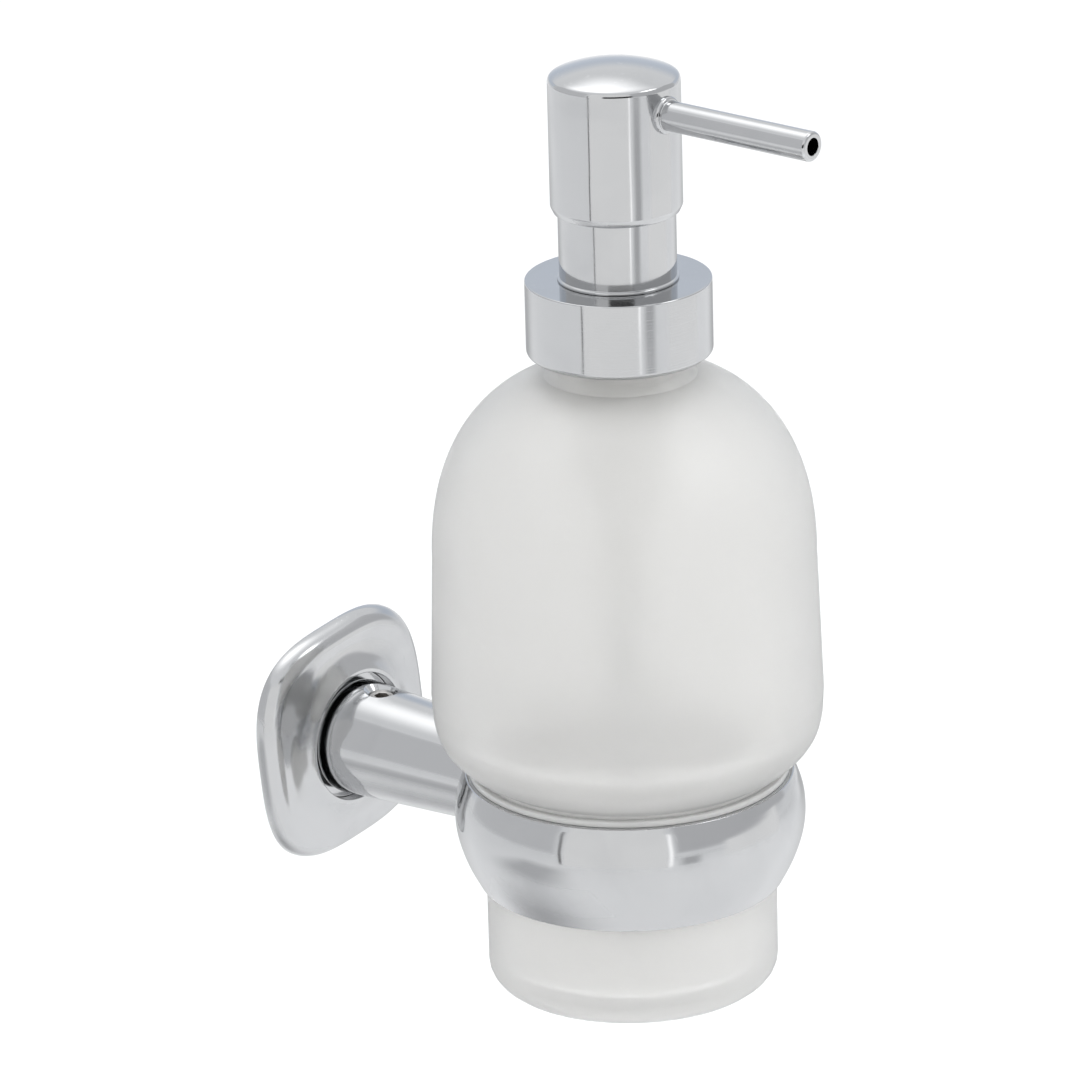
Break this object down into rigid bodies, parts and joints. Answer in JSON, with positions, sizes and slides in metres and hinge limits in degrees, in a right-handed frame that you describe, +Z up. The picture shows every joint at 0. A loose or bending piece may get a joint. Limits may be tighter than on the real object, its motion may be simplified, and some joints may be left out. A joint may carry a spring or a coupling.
{
  "type": "wall mounted soap dispenser",
  "caption": "Frosted glass soap bottle with a chrome pump head and thin spout, held in a chrome ring on a tapered arm with a rounded square wall rosette.",
  "frame": {"origin": "on the wall plane, on the axis of the arm", "axes": "+Y into the wall, -Y out of the wall towards the user, +Z up along the bottle and pump, +X to the user's right"},
  "size_m": [0.0722, 0.117, 0.1771],
  "materials": {
    "chrome": "polished",
    "frosted_glass": "acid-etched, satin",
    "zinc_plated": "zinc plated",
    "stainless": "bright drawn",
    "clear_plastic": "clear moulded",
    "white_plastic": "moulded",
    "grey_plastic": "moulded",
    "tube_plastic": "natural, extruded",
    "rubber": "moulded"
  },
  "bodies": {
    "wall_holder": {"wall_bracket": "zinc_plated", "mounting_post": "zinc_plated", "post_screw": "zinc_plated", "rosette": "chrome", "arm": "chrome", "grub_screw": "stainless", "ring_holder": "chrome", "arm_screw": "stainless", "ring_liner": "clear_plastic"},
    "bottle": {"glass_bottle": "frosted_glass"},
    "gasket": {"neck_gasket": "rubber"},
    "pump_body": {"pump_housing": "white_plastic", "housing_cap": "grey_plastic", "guide_sleeve": "chrome", "dip_tube": "tube_plastic", "return_spring": "stainless"},
    "collar": {"collar_shell": "chrome", "collar_insert": "white_plastic"},
    "plunger": {"piston": "white_plastic", "pump_stem": "white_plastic"},
    "head": {"head_shell": "chrome", "head_insert": "white_plastic", "spout": "chrome"},
    "inlet_valve": {"inlet_ball": "stainless"},
    "outlet_valve": {"outlet_ball": "stainless"}
  },
  "joints": [
    {"name": "bottle_lift", "type": "slide", "parent": "wall_holder", "child": "bottle", "axis": [0, 0, 1], "range_m": [0, 0.05]},
    {"name": "pump_lift", "type": "slide", "parent": "bottle", "child": "gasket", "axis": [0, 0, 1], "range_m": [0, 0.13]},
    {"name": "thread_rise", "type": "slide", "parent": "gasket", "child": "pump_body", "axis": [0, 0, 1], "range_m": [0, 0.0045]},
    {"name": "collar_turn", "type": "hinge", "parent": "pump_body", "child": "collar", "pos_m": [0, -0.072, 0.1], "axis": [0, 0, 1], "range_deg": [0, 540]},
    {"name": "head_press", "type": "slide", "parent": "pump_body", "child": "plunger", "axis": [0, 0, -1], "range_m": [0, 0.011], "stiffness_N_per_m": 700, "springref_m": -0.006, "deforming": ["return_spring"]},
    {"name": "head_swivel", "type": "hinge", "parent": "plunger", "child": "head", "pos_m": [0, -0.072, 0.137], "axis": [0, 0, 1], "continuous": true},
    {"name": "inlet_ball_lift", "type": "slide", "parent": "pump_body", "child": "inlet_valve", "axis": [0, 0, 1], "range_m": [0, 0.0012]},
    {"name": "outlet_ball_lift", "type": "slide", "parent": "plunger", "child": "outlet_valve", "axis": [0, 0, 1], "range_m": [0, 0.0012]}
  ],
  "couplings": [
    {"joint": "collar_turn", "follows": "thread_rise", "rad_per_m": 2094.4}
  ]
}
